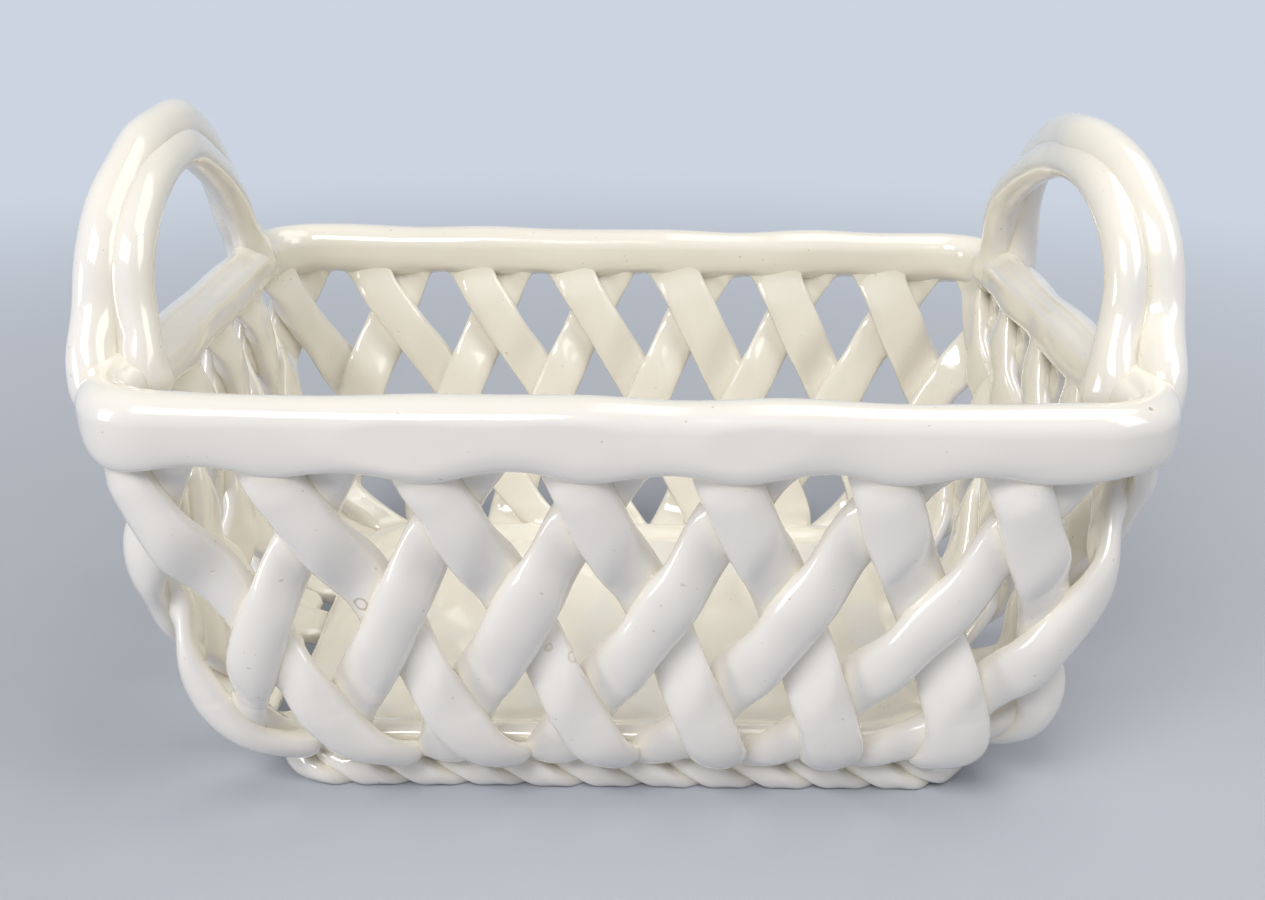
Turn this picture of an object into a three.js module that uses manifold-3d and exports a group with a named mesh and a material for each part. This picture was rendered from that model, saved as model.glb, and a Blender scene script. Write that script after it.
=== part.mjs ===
// A hand-built glazed ceramic basket. A slab floor lies on a twisted rope foot, flat clay
// straps are woven over and under into a flared wall that turns in round the slab's edge,
// a thick rounded band closes the top, and an arched handle of two round rods straddles the
// band at each end.
// Millimetres, +Z up. The origin lies under the middle of the foot, on what it rests on.
import * as THREE from "three";
import { mergeVertices } from "three/addons/utils/BufferGeometryUtils.js";
import Module from "manifold-3d";

const wasm = await Module();
wasm.setup();

// Gap left between two pieces that the glaze joins
const clearance = 0.3;

// Rim band: outside sizes, and the radius of its centre line at the corners
const rimLength = 285;
const rimDepth = 213;
const rimTop = 131.5;
const rimThickness = 14;
const rimOutsideHeight = 20.5;
const rimInsideHeight = 16;
const rimCornerRadius = 18.5;
const rimEdgeRounding = 2;
const rimEdgeWave = 0.9;
const rimCornerSteps = 5;

// Woven wall: how far its middle surface draws in from the band's centre line
const wallBury = 10.5;
const wallTopInset = 1;
const sideHeelInset = 14;
const endHeelInset = 12;
const heelHeight = 36;
const sideHeelTurn = THREE.MathUtils.degToRad(60);
const endHeelTurn = THREE.MathUtils.degToRad(84);
const ropeLap = 5;

// Straps
const strapsEachWay = 23;
const strapWidth = 17;
const strapThickness = 5.5;
const firstRowDrop = 9.4;
const rowPitch = 35.4;
const leftLeanShare = 0.45;
const startShare = 0.753;
const layingDriftShare = 0.094;
const leftStrapTrim = 2;
const lipLength = 1.8;
const lipShare = 0.55;
const cornerProbes = 12;
const crossingRows = [0, 1, 2];
const crossingHalfShare = 0.3;
const ringGap = 0.5;

// Where a strap has rings, in shares of the row pitch below the first row of crossings.
// A strap that bends round a corner has more of them, here and round the heel
const strapRingShares = [-0.3, 0.3, 0.7, 1.3, 1.7];
const cornerRingShares = [-0.3, 0.3, 0.5, 0.7, 1.3, 1.5, 1.7];
const strapHeelSteps = 3;
const cornerHeelSteps = 4;

// Across the strap as a share of its half width, and through it as a share of its thickness.
// A strap that bends round a corner has one more point in the middle of both faces
const strapSectionShares = [
  [-1, -0.16], [-0.8, -0.5], [0.8, -0.5], [1, -0.16], [0.52, 0.44], [-0.52, 0.44],
];
const cornerSectionShares = [
  [-1, -0.16], [-0.8, -0.5], [0, -0.5], [0.8, -0.5],
  [1, -0.16], [0.52, 0.44], [0, 0.44], [-0.52, 0.44],
];

// How near the points lie that the wall's direction is taken from
const probeShare = 0.05;

// Rope foot: two strands twisted together, ground flat underneath
const ropeHeight = 11;
const sideRopeInset = 30;
const endRopeInset = 40;
const ropeFlat = 0.8;
const strandWidth = 8.6;
const strandTurns = 19;
const strandStepsPerTurn = 6;
const strandSides = 5;

// Floor slab, on the rope: how far its edge draws in from the foot of the wall's middle
// surface, and how much that edge is rounded above and below
const floorThickness = 6.5;
const floorDrawIn = 0.45;
const floorEdgeRounding = 3;
const floorUnderRounding = 1.2;
const floorEdgeSteps = 2;
const floorCornerSteps = 5;

// Handles: each an arch of two rods. Rise is from the band's top to the outer rod's crown,
// half span reaches the widest foot, and reach is out from the band's centre line
const outerRodDiameter = 12.6;
const innerRodDiameter = 11;
const outerFootDrop = 17;
const innerFootDrop = 7;
const springingRise = 13.5;
const handleRise = 52.5;
const handleHalfSpan = 81;
const handleReach = 14;
const legFlareShare = 1.5;
const rodLegSteps = 4;
const rodArchSteps = 7;
const rodSides = 8;

// The rods are bent by hand, so no two are quite alike. Shares of the handle's rise for
// height, of its half span for along and span, and of its reach for out
const rodShares = [
  {
    name: "handle_left_outer_rod",
    end: -1,
    crown: { along: 0.01, height: 1, out: 0.1 },
    front: { span: 0.76, out: 0.5, footSpan: 0.9, footOut: 0.54, shoulder: 0.5 },
    rear: { span: 0.79, out: 0.39, footSpan: 0.99, footOut: 0.44, shoulder: 0.22 },
  },
  {
    name: "handle_left_inner_rod",
    end: -1,
    crown: { along: -0.09, height: 0.865, out: -0.14 },
    front: { span: 0.76, out: -0.17, footSpan: 0.84, footOut: -0.36, shoulder: 0.55 },
    rear: { span: 0.68, out: 0.01, footSpan: 0.83, footOut: -0.1, shoulder: 0.2 },
  },
  {
    name: "handle_right_outer_rod",
    end: 1,
    crown: { along: -0.13, height: 1, out: -0.19 },
    front: { span: 0.71, out: 0.6, footSpan: 0.93, footOut: 0.4, shoulder: 0.55 },
    rear: { span: 0.82, out: 0.24, footSpan: 0.86, footOut: 0.42, shoulder: 0.48 },
  },
  {
    name: "handle_right_inner_rod",
    end: 1,
    crown: { along: -0.17, height: 0.87, out: -0.35 },
    front: { span: 0.74, out: -0.09, footSpan: 0.85, footOut: -0.31, shoulder: 0.55 },
    rear: { span: 0.78, out: -0.36, footSpan: 0.91, footOut: -0.15, shoulder: 0.36 },
  },
];

const glaze = { color: 0xeeece6, roughness: 0.14, metalness: 0 };

// Sizes that follow from those above
const rimHalfX = (rimLength - rimThickness) / 2;
const rimHalfY = (rimDepth - rimThickness) / 2;
const weaveLift = (strapThickness + clearance) / 2;
const ropeRadius = (ropeHeight + ropeFlat) / 2;
const wallTop = rimTop - wallBury;
const wallFoot = ropeHeight + clearance + weaveLift;
const straightDrop = wallTop - heelHeight;
const heelTurn = (sideHeelTurn + endHeelTurn) / 2;
const heelRise = (heelHeight - wallFoot) / Math.sin(heelTurn);
const wallLength = straightDrop + heelRise * heelTurn;
const firstRow = rimOutsideHeight + firstRowDrop - wallBury;
const lastCrossing = crossingRows[crossingRows.length - 1];
const heelStart = firstRow + lastCrossing * rowPitch + ringGap;
const floorUnderside = ropeHeight + clearance;

// A closed solid through rings of points: capped at both ends, or joined end to end
function loft(rings, joined) {
  const sides = rings[0].length;
  const positions = rings.flat().flatMap((point) => point.toArray());
  const index = [];
  const spans = joined ? rings.length : rings.length - 1;
  for (let i = 0; i < spans; i++) {
    const here = i * sides;
    const next = ((i + 1) % rings.length) * sides;
    for (let k = 0; k < sides; k++) {
      const l = (k + 1) % sides;
      index.push(here + k, here + l, next + l, here + k, next + l, next + k);
    }
  }
  const last = (rings.length - 1) * sides;
  for (let k = 1; !joined && k < sides - 1; k++) {
    index.push(0, k + 1, k, last, last + k, last + k + 1);
  }
  const geometry = new THREE.BufferGeometry();
  geometry.setAttribute("position", new THREE.Float32BufferAttribute(positions, 3));
  geometry.setIndex(index);
  return geometry;
}

function toSolid(geometry) {
  const bare = geometry.clone();
  bare.deleteAttribute("normal");
  bare.deleteAttribute("uv");
  const merged = mergeVertices(bare);
  return new wasm.Manifold(new wasm.Mesh({
    numProp: 3,
    vertProperties: new Float32Array(merged.attributes.position.array),
    triVerts: new Uint32Array(merged.index.array),
  }));
}

function toGeometry(solid) {
  const mesh = solid.getMesh();
  const geometry = new THREE.BufferGeometry();
  geometry.setAttribute("position", new THREE.BufferAttribute(new Float32Array(mesh.vertProperties), 3));
  geometry.setIndex(new THREE.BufferAttribute(new Uint32Array(mesh.triVerts), 1));
  return geometry;
}

// A point of a rounded rectangle, a distance along it from the middle of its front,
// counter-clockwise from above, with its outward direction
function roundedRectangle(halfX, halfY, radius, distance) {
  const frontHalf = halfX - radius;
  const sideHalf = halfY - radius;
  const quarter = (Math.PI / 2) * radius;
  const total = 4 * (frontHalf + sideHalf + quarter);
  let left = ((distance % total) + total) % total;
  const straights = [
    [0, -1, 0, frontHalf], [1, 0, -sideHalf, 2 * sideHalf], [0, 1, frontHalf, 2 * frontHalf],
    [-1, 0, sideHalf, 2 * sideHalf], [0, -1, -frontHalf, frontHalf],
  ];
  for (const [outX, outY, start, length] of straights) {
    if (left <= length) {
      const along = start + left * (outX - outY);
      return outX === 0
        ? { x: along, y: outY * halfY, outX, outY }
        : { x: outX * halfX, y: along, outX, outY };
    }
    left -= length;
    if (left <= quarter) {
      const angle = Math.atan2(outY, outX) + left / radius;
      const middleX = (outX === 0 ? -outY : outX) * frontHalf;
      const middleY = (outX === 0 ? outY : outX) * sideHalf;
      return {
        x: middleX + radius * Math.cos(angle),
        y: middleY + radius * Math.sin(angle),
        outX: Math.cos(angle),
        outY: Math.sin(angle),
      };
    }
    left -= quarter;
  }
  return { x: 0, y: -halfY, outX: 0, outY: -1 };
}

function roundedRectangleLength(halfX, halfY, radius) {
  return 4 * (halfX + halfY - 2 * radius) + 2 * Math.PI * radius;
}

// How far a heel that turns by an angle has drawn in at a drop below its start
function heelShare(drop, fullTurn) {
  const sine = Math.sin(fullTurn) * drop / (heelHeight - wallFoot);
  return (1 - Math.sqrt(1 - sine * sine)) / (1 - Math.cos(fullTurn));
}

// The wall's middle surface at a distance down it: its height and its two insets
function wallLevel(down) {
  if (down <= straightDrop) {
    const share = down / straightDrop;
    return {
      z: wallTop - down,
      sideInset: wallTopInset + (sideHeelInset - wallTopInset) * share,
      endInset: wallTopInset + (endHeelInset - wallTopInset) * share,
    };
  }
  const turn = Math.min((down - straightDrop) / heelRise, heelTurn);
  const past = Math.max(down - wallLength, 0);
  const drop = heelRise * Math.sin(turn);
  const sideShare = heelShare(drop, sideHeelTurn);
  const endShare = heelShare(drop, endHeelTurn);
  return {
    z: heelHeight - drop,
    sideInset: sideHeelInset + (sideRopeInset - ropeLap - sideHeelInset) * sideShare + past,
    endInset: endHeelInset + (endRopeInset - ropeLap - endHeelInset) * endShare + past,
  };
}

// The distance between neighbouring straps at a level
function strapSpacing(level) {
  const halfX = rimHalfX - level.endInset;
  const halfY = rimHalfY - level.sideInset;
  return roundedRectangleLength(halfX, halfY, rimCornerRadius) / strapsEachWay;
}

// The wall's middle line at a place counted in straps round it, with its outward direction
function wallRing(place, down) {
  const level = wallLevel(down);
  const drift = layingDriftShare * (1 - Math.cos((2 * Math.PI * place) / strapsEachWay)) / 2;
  const distance = (place + drift) * strapSpacing(level);
  const halfX = rimHalfX - level.endInset;
  const halfY = rimHalfY - level.sideInset;
  return roundedRectangle(halfX, halfY, rimCornerRadius, distance);
}

function wallPoint(place, down) {
  const ring = wallRing(place, down);
  return new THREE.Vector3(ring.x, ring.y, wallLevel(down).z);
}

function wallNormal(place, down) {
  const depth = probeShare * strapThickness;
  const across = wallPoint(place + probeShare, down).sub(wallPoint(place - probeShare, down));
  const along = wallPoint(place, down + depth).sub(wallPoint(place, down - depth));
  return along.cross(across).normalize();
}

// How far a strap lies out of the middle surface, as a share of the weave's lift. It keeps
// its level all across a strap of the other direction, and stays outside below the last one
function weaveShare(row) {
  if (row > lastCrossing) {
    return 1;
  }
  const swing = Math.cos(Math.PI * row) / Math.cos(Math.PI * crossingHalfShare);
  const lowest = row < 0 ? 0 : -1;
  return Math.sin((Math.PI / 2) * THREE.MathUtils.clamp(swing, lowest, 1));
}

// Whether a strap meets a corner of the wall anywhere on its way down
function bendsRoundCorner(start, leanShare, length) {
  for (let i = 0; i <= cornerProbes; i++) {
    const down = length * i / cornerProbes;
    const middle = start + leanShare * (down - firstRow) / rowPitch;
    const reach = strapWidth / 2 / strapSpacing(wallLevel(down));
    for (const place of [middle - reach, middle + reach]) {
      const ring = wallRing(place, down);
      if (ring.outX * ring.outY !== 0) {
        return true;
      }
    }
  }
  return false;
}

// One strap. side 1 leans left going up, as seen from outside, and side -1 leans right.
// Its rings run along the straps that cross it, so that it is flat where it meets them,
// and lie level round the heel
function strapGeometry(side, number, grow) {
  const leanShare = side > 0 ? leftLeanShare : leftLeanShare - 1;
  const length = side > 0 ? wallLength - leftStrapTrim : wallLength;
  const cornered = bendsRoundCorner(number + startShare, leanShare, length);
  const sectionShares = cornered ? cornerSectionShares : strapSectionShares;
  const ringShares = cornered ? cornerRingShares : strapRingShares;
  const heelSteps = cornered ? cornerHeelSteps : strapHeelSteps;
  const ringAt = (middleDown, skewShare, least, widthShare) => {
    const spacing = strapSpacing(wallLevel(middleDown));
    const slope = leanShare * spacing / rowPitch;
    const halfWidth = (strapWidth / 2) * Math.hypot(1, slope) * widthShare + grow;
    const thickness = strapThickness * Math.sqrt(widthShare) + 2 * grow;
    return sectionShares.map(([acrossShare, throughShare]) => {
      const across = acrossShare * halfWidth / spacing;
      const down = Math.max(middleDown - skewShare * side * across * rowPitch, least);
      const row = (down - firstRow) / rowPitch;
      const place = number + startShare + leanShare * row + across;
      const lift = side * weaveLift * weaveShare(row + side * across);
      const out = lift + throughShare * thickness;
      return wallPoint(place, down).addScaledVector(wallNormal(place, down), out);
    });
  };
  const rings = [ringAt(0, 0, 0, 1)];
  for (const share of ringShares) {
    rings.push(ringAt(firstRow + share * rowPitch, 1, ringGap * rings.length, 1));
  }
  for (let i = 0; i <= heelSteps; i++) {
    const down = THREE.MathUtils.lerp(heelStart, length - lipLength, i / heelSteps);
    rings.push(ringAt(down, 0, 0, 1));
  }
  rings.push(ringAt(length, 0, 0, lipShare));
  return loft(rings, false);
}

// Section of the band: outwards from its centre line and height, going round it
function rimSection(dip, grow) {
  const half = rimThickness / 2 + grow;
  const crown = rimTop - rimThickness / 2;
  const slant = half * Math.SQRT1_2;
  const outsideEdge = rimTop - rimOutsideHeight - grow - dip;
  const insideEdge = rimTop - rimInsideHeight - grow;
  return [
    [-half + rimEdgeRounding, insideEdge],
    [-half, insideEdge + rimEdgeRounding / 2],
    [-half, crown],
    [-slant, crown + slant],
    [0, crown + half],
    [slant, crown + slant],
    [half, crown],
    [half, outsideEdge + rimEdgeRounding],
    [half - rimEdgeRounding, outsideEdge],
  ];
}

// Distances along a rounded rectangle from its front middle: close together at the corners
function ringStations(halfX, halfY, radius, straightStep, cornerSteps) {
  const quarter = (Math.PI / 2) * radius;
  const stations = [];
  let start = 0;
  for (const length of [halfX - radius, 2 * (halfY - radius), 2 * (halfX - radius),
    2 * (halfY - radius), halfX - radius]) {
    const steps = Math.ceil(length / straightStep);
    for (let i = 0; i < steps; i++) {
      stations.push(start + length * i / steps);
    }
    start += length;
    for (let i = 0; i < cornerSteps && stations.length > 0; i++) {
      stations.push(start + quarter * i / cornerSteps);
    }
    start += quarter;
  }
  return stations.filter((station) => station < roundedRectangleLength(halfX, halfY, radius));
}

function rimGeometry(grow) {
  const length = roundedRectangleLength(rimHalfX, rimHalfY, rimCornerRadius);
  const step = length / strapsEachWay / 2;
  const stations = ringStations(rimHalfX, rimHalfY, rimCornerRadius, step, rimCornerSteps);
  const rings = stations.map((station) => {
    const place = strapsEachWay * station / length;
    const dip = rimEdgeWave * Math.cos(2 * Math.PI * (place - startShare));
    const ring = roundedRectangle(rimHalfX, rimHalfY, rimCornerRadius, station);
    return rimSection(dip, grow).map(([out, height]) =>
      new THREE.Vector3(ring.x + ring.outX * out, ring.y + ring.outY * out, height));
  });
  return loft(rings, true);
}

// One strand of the rope foot, flat underneath
function strandSolid(phase) {
  const strandRadius = (ropeRadius - clearance / 2) / 2;
  const orbit = ropeRadius - strandRadius;
  const halfX = rimHalfX - endRopeInset;
  const halfY = rimHalfY - sideRopeInset;
  const length = roundedRectangleLength(halfX, halfY, rimCornerRadius);
  const steps = strandTurns * strandStepsPerTurn;
  const rings = [];
  for (let i = 0; i < steps; i++) {
    const ring = roundedRectangle(halfX, halfY, rimCornerRadius, length * i / steps);
    const twist = phase - 2 * Math.PI * i / strandStepsPerTurn;
    const section = [];
    for (let k = 0; k < strandSides; k++) {
      const angle = -(2 * Math.PI * k) / strandSides;
      const away = orbit + strandRadius * Math.cos(angle);
      const beside = (strandWidth / 2) * Math.sin(angle);
      const out = away * Math.cos(twist) - beside * Math.sin(twist);
      const up = away * Math.sin(twist) + beside * Math.cos(twist);
      section.push(new THREE.Vector3(
        ring.x + ring.outX * out, ring.y + ring.outY * out, ropeRadius - ropeFlat + up));
    }
    rings.push(section);
  }
  const ground = new THREE.BoxGeometry(rimLength, rimDepth, ropeHeight);
  ground.translate(0, 0, -ropeHeight / 2);
  return toSolid(loft(rings, true)).subtract(toSolid(ground));
}

// The slab on the rope, with a rounded edge that the strap ends turn in round
function floorGeometry() {
  const drawIn = floorDrawIn - ropeLap;
  const halfX = rimHalfX - endRopeInset - drawIn;
  const halfY = rimHalfY - sideRopeInset - drawIn;
  const radius = rimCornerRadius - floorDrawIn;
  const roundingHeight = floorUnderside + floorThickness - floorEdgeRounding;
  const rise = [[-floorUnderRounding, floorUnderside], [0, floorUnderside + floorUnderRounding]];
  for (let i = 0; i <= floorEdgeSteps; i++) {
    const angle = (Math.PI / 2) * i / floorEdgeSteps;
    rise.push([
      floorEdgeRounding * (Math.cos(angle) - 1),
      roundingHeight + floorEdgeRounding * Math.sin(angle),
    ]);
  }
  const rings = rise.map(([out, height]) => {
    const ring = [];
    for (let corner = 0; corner < 4; corner++) {
      const signX = corner === 0 || corner === 3 ? 1 : -1;
      const signY = corner < 2 ? 1 : -1;
      for (let i = 0; i <= floorCornerSteps; i++) {
        const angle = (Math.PI / 2) * (corner + i / floorCornerSteps);
        ring.push(new THREE.Vector3(
          signX * (halfX - radius) + (radius + out) * Math.cos(angle),
          signY * (halfY - radius) + (radius + out) * Math.sin(angle),
          height));
      }
    }
    return ring;
  });
  return loft(rings, false);
}

// Half of a rod's path, from a foot to the crown, as points of along, height and out.
// side is -1 for the front half and 1 for the rear half
function rodHalfPath(shares, leg, side, footDrop) {
  const footHeight = rimTop - footDrop;
  const springingHeight = rimTop + springingRise;
  const points = [];
  for (let i = 0; i < rodLegSteps; i++) {
    const height = THREE.MathUtils.lerp(footHeight, springingHeight, i / rodLegSteps);
    const fall = Math.min((springingHeight - height) / springingRise, 1);
    const span = THREE.MathUtils.lerp(leg.span, leg.footSpan, fall ** legFlareShare);
    const out = THREE.MathUtils.lerp(leg.out, leg.footOut, THREE.MathUtils.smoothstep(fall, 0, 1));
    points.push(new THREE.Vector3(side * handleHalfSpan * span, height, handleReach * out));
  }
  const springing = new THREE.Vector3(
    side * handleHalfSpan * leg.span, springingHeight, handleReach * leg.out);
  const crown = new THREE.Vector3(
    handleHalfSpan * shares.crown.along,
    rimTop + handleRise * shares.crown.height,
    handleReach * shares.crown.out);
  const above = springing.clone()
    .setY(THREE.MathUtils.lerp(springing.y, crown.y, leg.shoulder));
  const beside = crown.clone().lerp(springing, leg.shoulder).setY(crown.y);
  const arch = new THREE.CubicBezierCurve3(springing, above, beside, crown);
  for (let i = 0; i < rodArchSteps; i++) {
    points.push(arch.getPointAt(i / rodArchSteps));
  }
  return points;
}

function rodGeometry(shares, diameter, footDrop, grow) {
  const front = rodHalfPath(shares, shares.front, -1, footDrop);
  const rear = rodHalfPath(shares, shares.rear, 1, footDrop).reverse();
  const crown = new THREE.Vector3(
    handleHalfSpan * shares.crown.along,
    rimTop + handleRise * shares.crown.height,
    handleReach * shares.crown.out);
  const path = [...front, crown, ...rear].map((point) =>
    new THREE.Vector3(shares.end * (rimHalfX + point.z), point.x, point.y));
  const outward = new THREE.Vector3(shares.end, 0, 0);
  const radius = diameter / 2 + grow;
  const rings = path.map((middle, i) => {
    const before = path[Math.max(i - 1, 0)];
    const after = path[Math.min(i + 1, path.length - 1)];
    const tangent = after.clone().sub(before).normalize();
    const inPlane = tangent.clone().cross(outward).normalize();
    const through = inPlane.clone().cross(tangent).normalize();
    const ring = [];
    for (let k = 0; k < rodSides; k++) {
      const angle = (2 * Math.PI * k) / rodSides;
      ring.push(middle.clone()
        .addScaledVector(through, radius * Math.cos(angle))
        .addScaledVector(inPlane, radius * Math.sin(angle)));
    }
    return ring;
  });
  return loft(rings, false);
}

const basket = new THREE.Group();
basket.name = "ceramic_basket";

function addPiece(name, geometry) {
  geometry.computeVertexNormals();
  const mesh = new THREE.Mesh(geometry, new THREE.MeshStandardMaterial(glaze));
  mesh.name = name;
  basket.add(mesh);
}

const grownRim = toSolid(rimGeometry(clearance));

addPiece("rim_band", rimGeometry(0));
addPiece("floor_slab", floorGeometry());
addPiece("foot_rope_strand_1", toGeometry(strandSolid(-Math.PI / 2)));
addPiece("foot_rope_strand_2", toGeometry(strandSolid(Math.PI / 2)));

// Each handle rod is seated on the band, and the inner one against the outer one
for (let i = 0; i < rodShares.length; i += 2) {
  const [outerShares, innerShares] = rodShares.slice(i, i + 2);
  const outerAt = (grow) => toSolid(rodGeometry(outerShares, outerRodDiameter, outerFootDrop, grow));
  const inner = toSolid(rodGeometry(innerShares, innerRodDiameter, innerFootDrop, 0));
  addPiece(outerShares.name, toGeometry(outerAt(0).subtract(grownRim)));
  addPiece(innerShares.name,
    toGeometry(inner.subtract(grownRim).subtract(outerAt(clearance))));
}

// Straps. Where two cross, the one behind is pressed back by the one in front
const leftGrown = [];
const rightGrown = [];
const leftSolids = [];
const rightSolids = [];
for (let i = 0; i < strapsEachWay; i++) {
  leftSolids.push(toSolid(strapGeometry(1, i, 0)));
  rightSolids.push(toSolid(strapGeometry(-1, i, 0)));
  leftGrown.push(toSolid(strapGeometry(1, i, clearance)));
  rightGrown.push(toSolid(strapGeometry(-1, i, clearance)));
}
for (let i = 0; i < strapsEachWay; i++) {
  for (const row of crossingRows) {
    const j = (i + row + strapsEachWay) % strapsEachWay;
    if (row % 2 === 0) {
      rightSolids[j] = rightSolids[j].subtract(leftGrown[i]);
    } else {
      leftSolids[i] = leftSolids[i].subtract(rightGrown[j]);
    }
  }
}
for (let i = 0; i < strapsEachWay; i++) {
  const number = String(i + 1).padStart(2, "0");
  addPiece(`strap_left_${number}`, toGeometry(leftSolids[i].subtract(grownRim)));
  addPiece(`strap_right_${number}`, toGeometry(rightSolids[i].subtract(grownRim)));
}

export default basket;
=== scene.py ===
"""A hand-built glazed ceramic basket: fine surfaces, glaze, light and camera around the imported
model. Metres, +Z up, in the frame of the model. The wall is laid out as in the solids, from
the same sizes, and each piece here stands for the solid of its name."""
import math

import bpy
import numpy as np
from mathutils import Matrix
from mathutils import Vector
from mathutils.bvhtree import BVHTree


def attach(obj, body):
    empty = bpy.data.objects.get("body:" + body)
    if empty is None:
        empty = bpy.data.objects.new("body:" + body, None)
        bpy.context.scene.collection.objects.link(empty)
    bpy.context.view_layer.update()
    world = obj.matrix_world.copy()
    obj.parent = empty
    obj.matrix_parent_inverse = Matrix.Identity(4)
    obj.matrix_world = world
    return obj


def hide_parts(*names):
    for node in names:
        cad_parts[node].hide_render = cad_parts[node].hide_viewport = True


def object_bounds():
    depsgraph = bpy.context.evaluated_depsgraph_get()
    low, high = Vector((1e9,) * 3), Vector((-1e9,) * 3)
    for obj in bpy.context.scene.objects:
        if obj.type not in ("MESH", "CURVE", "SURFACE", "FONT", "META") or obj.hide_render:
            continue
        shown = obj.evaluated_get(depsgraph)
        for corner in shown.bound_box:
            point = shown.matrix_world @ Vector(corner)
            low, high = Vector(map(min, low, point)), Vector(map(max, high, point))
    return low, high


# Gap left between two solids
CLEARANCE = 0.0003

# Rim band, from the outside sizes
RIM_LENGTH = 0.285
RIM_DEPTH = 0.213
RIM_TOP = 0.1315
RIM_THICKNESS = 0.014
RIM_OUTSIDE_HEIGHT = 0.0205
RIM_INSIDE_HEIGHT = 0.016
RIM_CORNER_RADIUS = 0.0185
RIM_EDGE_WAVE = 0.00115
RIM_RINGS = 640
RIM_SIDES = 52
RIM_TOP_POWER = 2
RIM_FOOT_POWER = 3.4
RIM_RIPPLE = 0.0005
RIM_RIPPLE_LENGTH = 0.046

# Groove along the inside of the band at the short ends
GROOVE_DEPTH = 0.0011
GROOVE_PLACE_SHARE = -0.62
GROOVE_WIDTH_SHARE = 0.3
GROOVE_START_SHARE = -0.2

# Woven wall
WALL_BURY = 0.0105
WALL_TOP_INSET = 0.001
SIDE_HEEL_INSET = 0.014
END_HEEL_INSET = 0.012
HEEL_HEIGHT = 0.036
SIDE_HEEL_TURN = math.radians(60)
END_HEEL_TURN = math.radians(84)
ROPE_LAP = 0.005

# The bend into the heel is eased over this step, up and down the wall, with these shares
HEEL_BLEND = 0.005
HEEL_BLEND_SHARES = ((-1, 0.25), (0, 0.5), (1, 0.25))

# Hand-made departures from the even wall: rounder corners low down, and ends that belly out
LOW_CORNER_RADIUS = 0.031
LEFT_END_BELLY = 0.003
RIGHT_END_BELLY = 0.0028
LEAN_START_SHARE = 0.5

# Straps
STRAPS_EACH_WAY = 23
STRAP_WIDTH = 0.017
STRAP_THICKNESS = 0.0055
BARE_WIDTH_SHARE = 0.93
FIRST_ROW_DROP = 0.0094
ROW_PITCH = 0.0354
LEFT_LEAN_SHARE = 0.45
START_SHARE = 0.753
LAYING_DRIFT_SHARE = 0.094
LEFT_STRAP_TRIM = 0.003
LEFT_STRAP_SINK = 0.016
LEFT_STRAP_SINK_SHARE = 0.6
CROSSING_HALF_SHARE = 0.21
LAST_CROSSING = 2
STRAP_RINGS = 170
STRAP_SIDES = 44
STRAP_FACE_FULLNESS = 1.75
STRAP_BACK_FULLNESS = 1.05
STRAP_FACE_POWER = 2.15
STRAP_BACK_POWER = 3
STRAP_END_ROUNDING = 0.007
STRAP_END_POWER = 2.6
RIGHT_STRAP_TAIL = 0.003
RIGHT_STRAP_SINK = 0.016
LEFT_HEEL_SKEW_SHARE = 0.35
RIGHT_HEEL_SKEW_SHARE = 0.95
BURIED_FULLNESS_SHARE = 0.55
BURIED_FROM = 0.006
BURIED_TO = 0.017
STRAP_WIDTH_SPREAD_SHARE = 0.04
STRAP_WANDER = 0.0004
STRAP_RIPPLE = 0.00022
STRAP_RIPPLE_LENGTH = 0.024
STRAP_SEEDS = {1: 300, -1: 100}

# Straps laid off the even spacing: side, number, shift at the top and at the foot as shares of
# the spacing, and the share of the usual width
HAND_LAID = {
    (-1, 20): (0.11, 0.27, 0.77),
    (-1, 21): (0.06, 0.08, 0.9),
    (1, 2): (-0.1, -0.18, 0.9),
    (-1, 4): (-0.04, -0.12, 1),
    (-1, 5): (-0.05, -0.13, 0.95),
}
EVENLY_LAID = (0, 0, 1)
PROBE_SHARE = 0.05
PROBE_DEPTH = 0.0003

# Rope foot
ROPE_HEIGHT = 0.011
SIDE_ROPE_INSET = 0.030
END_ROPE_INSET = 0.040
ROPE_END_REACH = 0.004
ROPE_CORNER_RADIUS = 0.014
ROPE_FLAT = 0.0008
STRAND_WIDTH = 0.0098
STRAND_FULLNESS = 1.12
STRAND_TURNS = 19
STRAND_RINGS = 760
STRAND_SIDES = 24
STRAND_RIPPLE = 0.00015

# Floor slab
FLOOR_THICKNESS = 0.0065
FLOOR_DRAW_IN = -0.0006
FLOOR_EDGE_ROUNDING = 0.003
FLOOR_UNDER_ROUNDING = 0.0012
FLOOR_AROUND = 260
FLOOR_INWARD = 60
FLOOR_ROUNDING_STEPS = 7
FLOOR_CORE_SHARE = 0.01
FLOOR_CORNER_RADIUS = 0.0245
FLOOR_SPREAD_POWER = 1.5
FLOOR_LIP_RISE = 0.003
FLOOR_LIP_WIDTH_SHARE = 0.12
FLOOR_RIPPLE = 0.00025

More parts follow.
